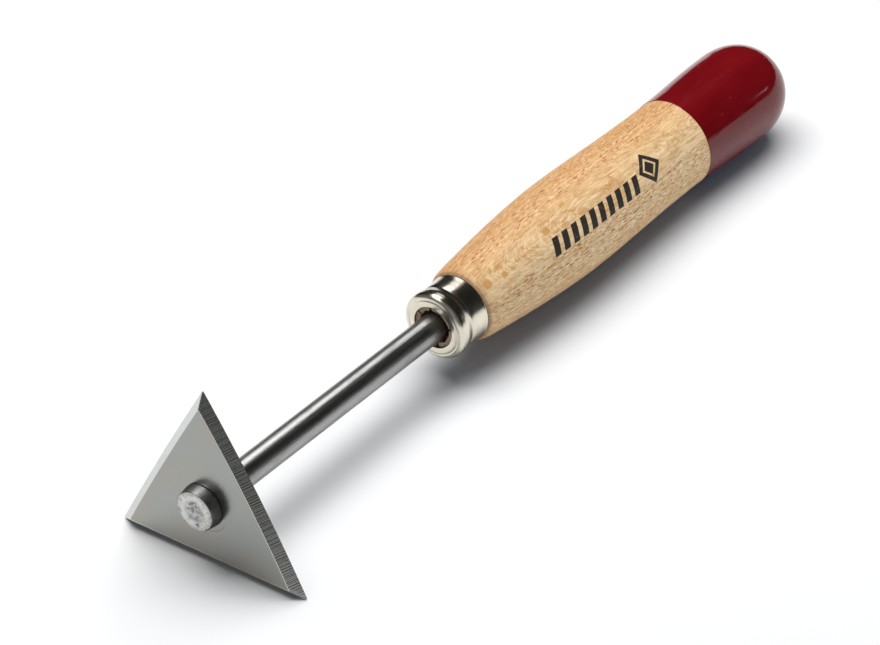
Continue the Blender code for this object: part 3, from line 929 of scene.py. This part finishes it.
def make_handle():
    """From the bottom of the bore forward to the nose's end, back along the nose, and over the
    shoulder and the grip to the butt."""
    nose = NOSE_FRONT - HAIR
    nose_radius = INNER_RADIUS - HAIR
    shoulder = FERRULE_FRONT + FERRULE_LENGTH + HAIR
    bottom = TANG_END + BORE_SPARE
    outline = [
        (bottom, 0.0),
        (bottom - BORE_RADIUS, BORE_RADIUS),
        (nose + MOUTH_DEPTH, BORE_RADIUS),
        (nose, BORE_RADIUS),
    ]
    outline += spread((nose, BORE_RADIUS), (nose, END_GRAIN_RADIUS), 36)
    outline += [
        (nose, nose_radius - NOSE_CHAMFER),
        (nose + NOSE_CHAMFER, nose_radius),
        (shoulder, nose_radius),
        (shoulder, handle_radius(SHOULDER_PLACE)),
    ]
    steps = 12
    for i in range(1, steps):
        x = SHOULDER_PLACE + SHOULDER_ROUNDING * (1 - math.cos(math.radians(90 * i / steps)))
        outline.append((x, handle_radius(x)))
    outline += stretch(SHOULDER_PLACE + SHOULDER_ROUNDING, BELLY_PLACE, 60)
    for x, radius in stretch(BELLY_PLACE, LACQUER_EDGE + CLEARANCE, 70)[1:]:
        sunk = ease(min(max((x - LACQUER_EDGE) / LACQUER_FADE + 1, 0), 1))
        outline.append((x, radius - LACQUER_FILM * sunk))
    outline += butt_outline(LACQUER_FILM)[1:]
    vertices, faces = turned(outline, HANDLE_SIDES, nose_shape)
    return add_piece("handle_wood", vertices, faces, beech_material(), "handle", sharp=40)


def coat_shape(x, radius, angle):
    """The dipped coat's slightly uneven edge and surface."""
    around = Vector((math.cos(angle), math.sin(angle), 0))
    edge = max(0.0, 1 - (x - LACQUER_EDGE) / (0.6 * MM))
    shift = 0.10 * noise.noise(around * 2.2 + Vector((0, 0, 7))) * MM * edge
    run = Vector((x / (9 * MM), 5 * around.x, 5 * around.y))
    wave = 0.022 * (noise.noise(run) - 0.6) * MM
    inside = min(1.0, max(0.0, (x - LACQUER_EDGE) / (1.0 * MM)))
    tip = min(1.0, radius / (4 * MM))
    return x + shift, radius + wave * inside * tip


def make_lacquer():
    """The coat's rounded lip, its skin to the end of the butt, and back over the wood."""
    film = LACQUER_FILM
    lip = arc((LACQUER_EDGE + film, handle_radius(LACQUER_EDGE) - film), film, 180, 90, 5)
    skin = [point for point in butt_outline() if point[0] > LACQUER_EDGE + film]
    outline = lip + skin + butt_outline(film - HAIR / 2)[::-1]
    vertices, faces = turned(outline, HANDLE_SIDES, coat_shape, closed=True)
    finish = lacquer_material()
    return add_piece(
        "lacquer_coat", vertices, faces, finish, "butt_lacquer", sharp=60
    )


# ---------------------------------------------------------------- stage


def make_floor():
    """A plain pale surface, far larger than the picture."""
    n = Nodes("pale_floor")
    speck = n.noise(n.scaled(n.millimetres(), (400, 400, 400)), detail=1)
    colour = n.mix(n.ramp(speck, 0.3, 0.7), (0.925, 0.925, 0.925), (0.94, 0.94, 0.94))
    mesh = bpy.data.meshes.new("floor")
    reach = FLOOR_REACH
    corners = [(-reach, -reach, 0), (reach, -reach, 0), (reach, reach, 0), (-reach, reach, 0)]
    mesh.from_pydata(corners, [], [(0, 1, 2, 3)])
    mesh.materials.append(n.finish(Base_Color=colour, Roughness=0.9))
    floor = bpy.data.objects.new("floor", mesh)
    floor.location = (0, 0, -FLOOR_DROP)
    bpy.context.scene.collection.objects.link(floor)
    return floor


def make_light(
    name,
    place,
    target,
    size,
    power,
    colour=(1, 1, 1),
    bounces=1,
    glossy=True,
    diffuse=True,
    only=(),
):
    """A rectangular lamp. With only, it falls on those pieces and on nothing else. Without
    glossy it isn't reflected, and without diffuse it is only seen reflected."""
    data = bpy.data.lights.new(name, "AREA")
    data.shape = "RECTANGLE"
    data.size, data.size_y = size
    data.energy = power
    data.color = colour
    data.cycles.max_bounces = bounces
    light = bpy.data.objects.new(name, data)
    light.location = place
    light.rotation_euler = (Vector(target) - Vector(place)).to_track_quat("-Z", "Y").to_euler()
    light.visible_glossy = glossy
    light.visible_diffuse = diffuse
    bpy.context.scene.collection.objects.link(light)
    if only:
        receivers = bpy.data.collections.new(name + "_receivers")
        for piece in only:
            receivers.objects.link(piece)
        light.light_linking.receiver_collection = receivers


def make_world():
    """The studio as each kind of ray meets it: white to the camera, pale as a soft light, and in
    reflections a dim room that is lighter behind the camera."""
    world = bpy.data.worlds.new("studio")
    world.use_nodes = True
    nodes, links = world.node_tree.nodes, world.node_tree.links

    def shade(strength, colour=(1, 1, 1, 1)):
        node = nodes.new("ShaderNodeBackground")
        node.inputs["Color"].default_value = colour
        node.inputs["Strength"].default_value = strength
        return node

    def choose(factor, first, second):
        node = nodes.new("ShaderNodeMixShader")
        links.new(factor, node.inputs[0])
        links.new(first.outputs[0], node.inputs[1])
        links.new(second.outputs[0], node.inputs[2])
        return node

    rays = nodes.new("ShaderNodeLightPath")
    heading = nodes.new("ShaderNodeTexCoord")
    axes = nodes.new("ShaderNodeSeparateXYZ")
    links.new(heading.outputs["Generated"], axes.inputs[0])
    behind = nodes.new("ShaderNodeMapRange")
    links.new(axes.outputs["X"], behind.inputs["Value"])
    behind.inputs["From Min"].default_value = 0.1
    behind.inputs["From Max"].default_value = -0.8
    room = choose(behind.outputs[0], shade(ROOM_DIM, ROOM_DIM_COLOUR), shade(ROOM_BEHIND))
    room = choose(rays.outputs["Is Diffuse Ray"], room, shade(AMBIENT))
    room = choose(rays.outputs["Is Camera Ray"], room, shade(1.0))
    links.new(room.outputs[0], nodes["World Output"].inputs["Surface"])
    bpy.context.scene.world = world


def make_camera():
    """The camera at the photograph's angle, aimed from the middle of the CAD model's box."""
    data = bpy.data.cameras.new("camera")
    data.lens = CAMERA_LENS
    data.sensor_width = CAMERA_SENSOR
    data.clip_start, data.clip_end = 0.05, 20
    camera = bpy.data.objects.new("camera", data)
    a, e = math.radians(CAMERA_AZIMUTH), math.radians(CAMERA_ELEVATION)
    back = Vector((math.sin(a) * math.cos(e), -math.cos(a) * math.cos(e), math.sin(e)))
    level = Vector((0, 0, 1)).cross(back).normalized()
    right = Matrix.Rotation(math.radians(CAMERA_ROLL), 3, back) @ level
    up = back.cross(right)
    middle = (cad_box[0] + cad_box[1]) / 2
    place = middle + back * CAMERA_DISTANCE + right * CAMERA_RIGHT + up * CAMERA_UP
    turn = Matrix((right, up, back)).transposed().to_4x4()
    camera.matrix_world = Matrix.Translation(place) @ turn
    bpy.context.scene.collection.objects.link(camera)
    bpy.context.scene.camera = camera


PLACEMENT = tool_placement()
blade = make_blade()
shaft = make_shaft()
ferrule = make_ferrule()
handle = make_handle()
lacquer = make_lacquer()
floor = make_floor()
make_world()
make_light(
    "overhead", OVERHEAD_PLACE, OVERHEAD_TARGET, OVERHEAD_SIZE, OVERHEAD_POWER, glossy=False
)
make_light(
    "softbox",
    SOFTBOX_PLACE,
    SOFTBOX_TARGET,
    SOFTBOX_SIZE,
    SOFTBOX_POWER,
    diffuse=False,
    only=[blade, shaft, handle, lacquer],
)
make_light(
    "strip",
    SOFTBOX_PLACE,
    SOFTBOX_TARGET,
    STRIP_SIZE,
    STRIP_POWER,
    diffuse=False,
    only=[ferrule],
)
make_light("window", WINDOW_PLACE, WINDOW_TARGET, WINDOW_SIZE, WINDOW_POWER, WINDOW_COLOUR)
make_light(
    "fill",
    FILL_PLACE,
    FILL_TARGET,
    FILL_SIZE,
    FILL_POWER,
    FILL_COLOUR,
    bounces=0,
    glossy=False,
    only=[handle],
)
make_light(
    "tint",
    TINT_PLACE,
    TINT_TARGET,
    TINT_SIZE,
    TINT_POWER,
    TINT_COLOUR,
    bounces=0,
    glossy=False,
    only=[floor],
)
make_camera()
bpy.context.scene.view_settings.view_transform = "Standard"
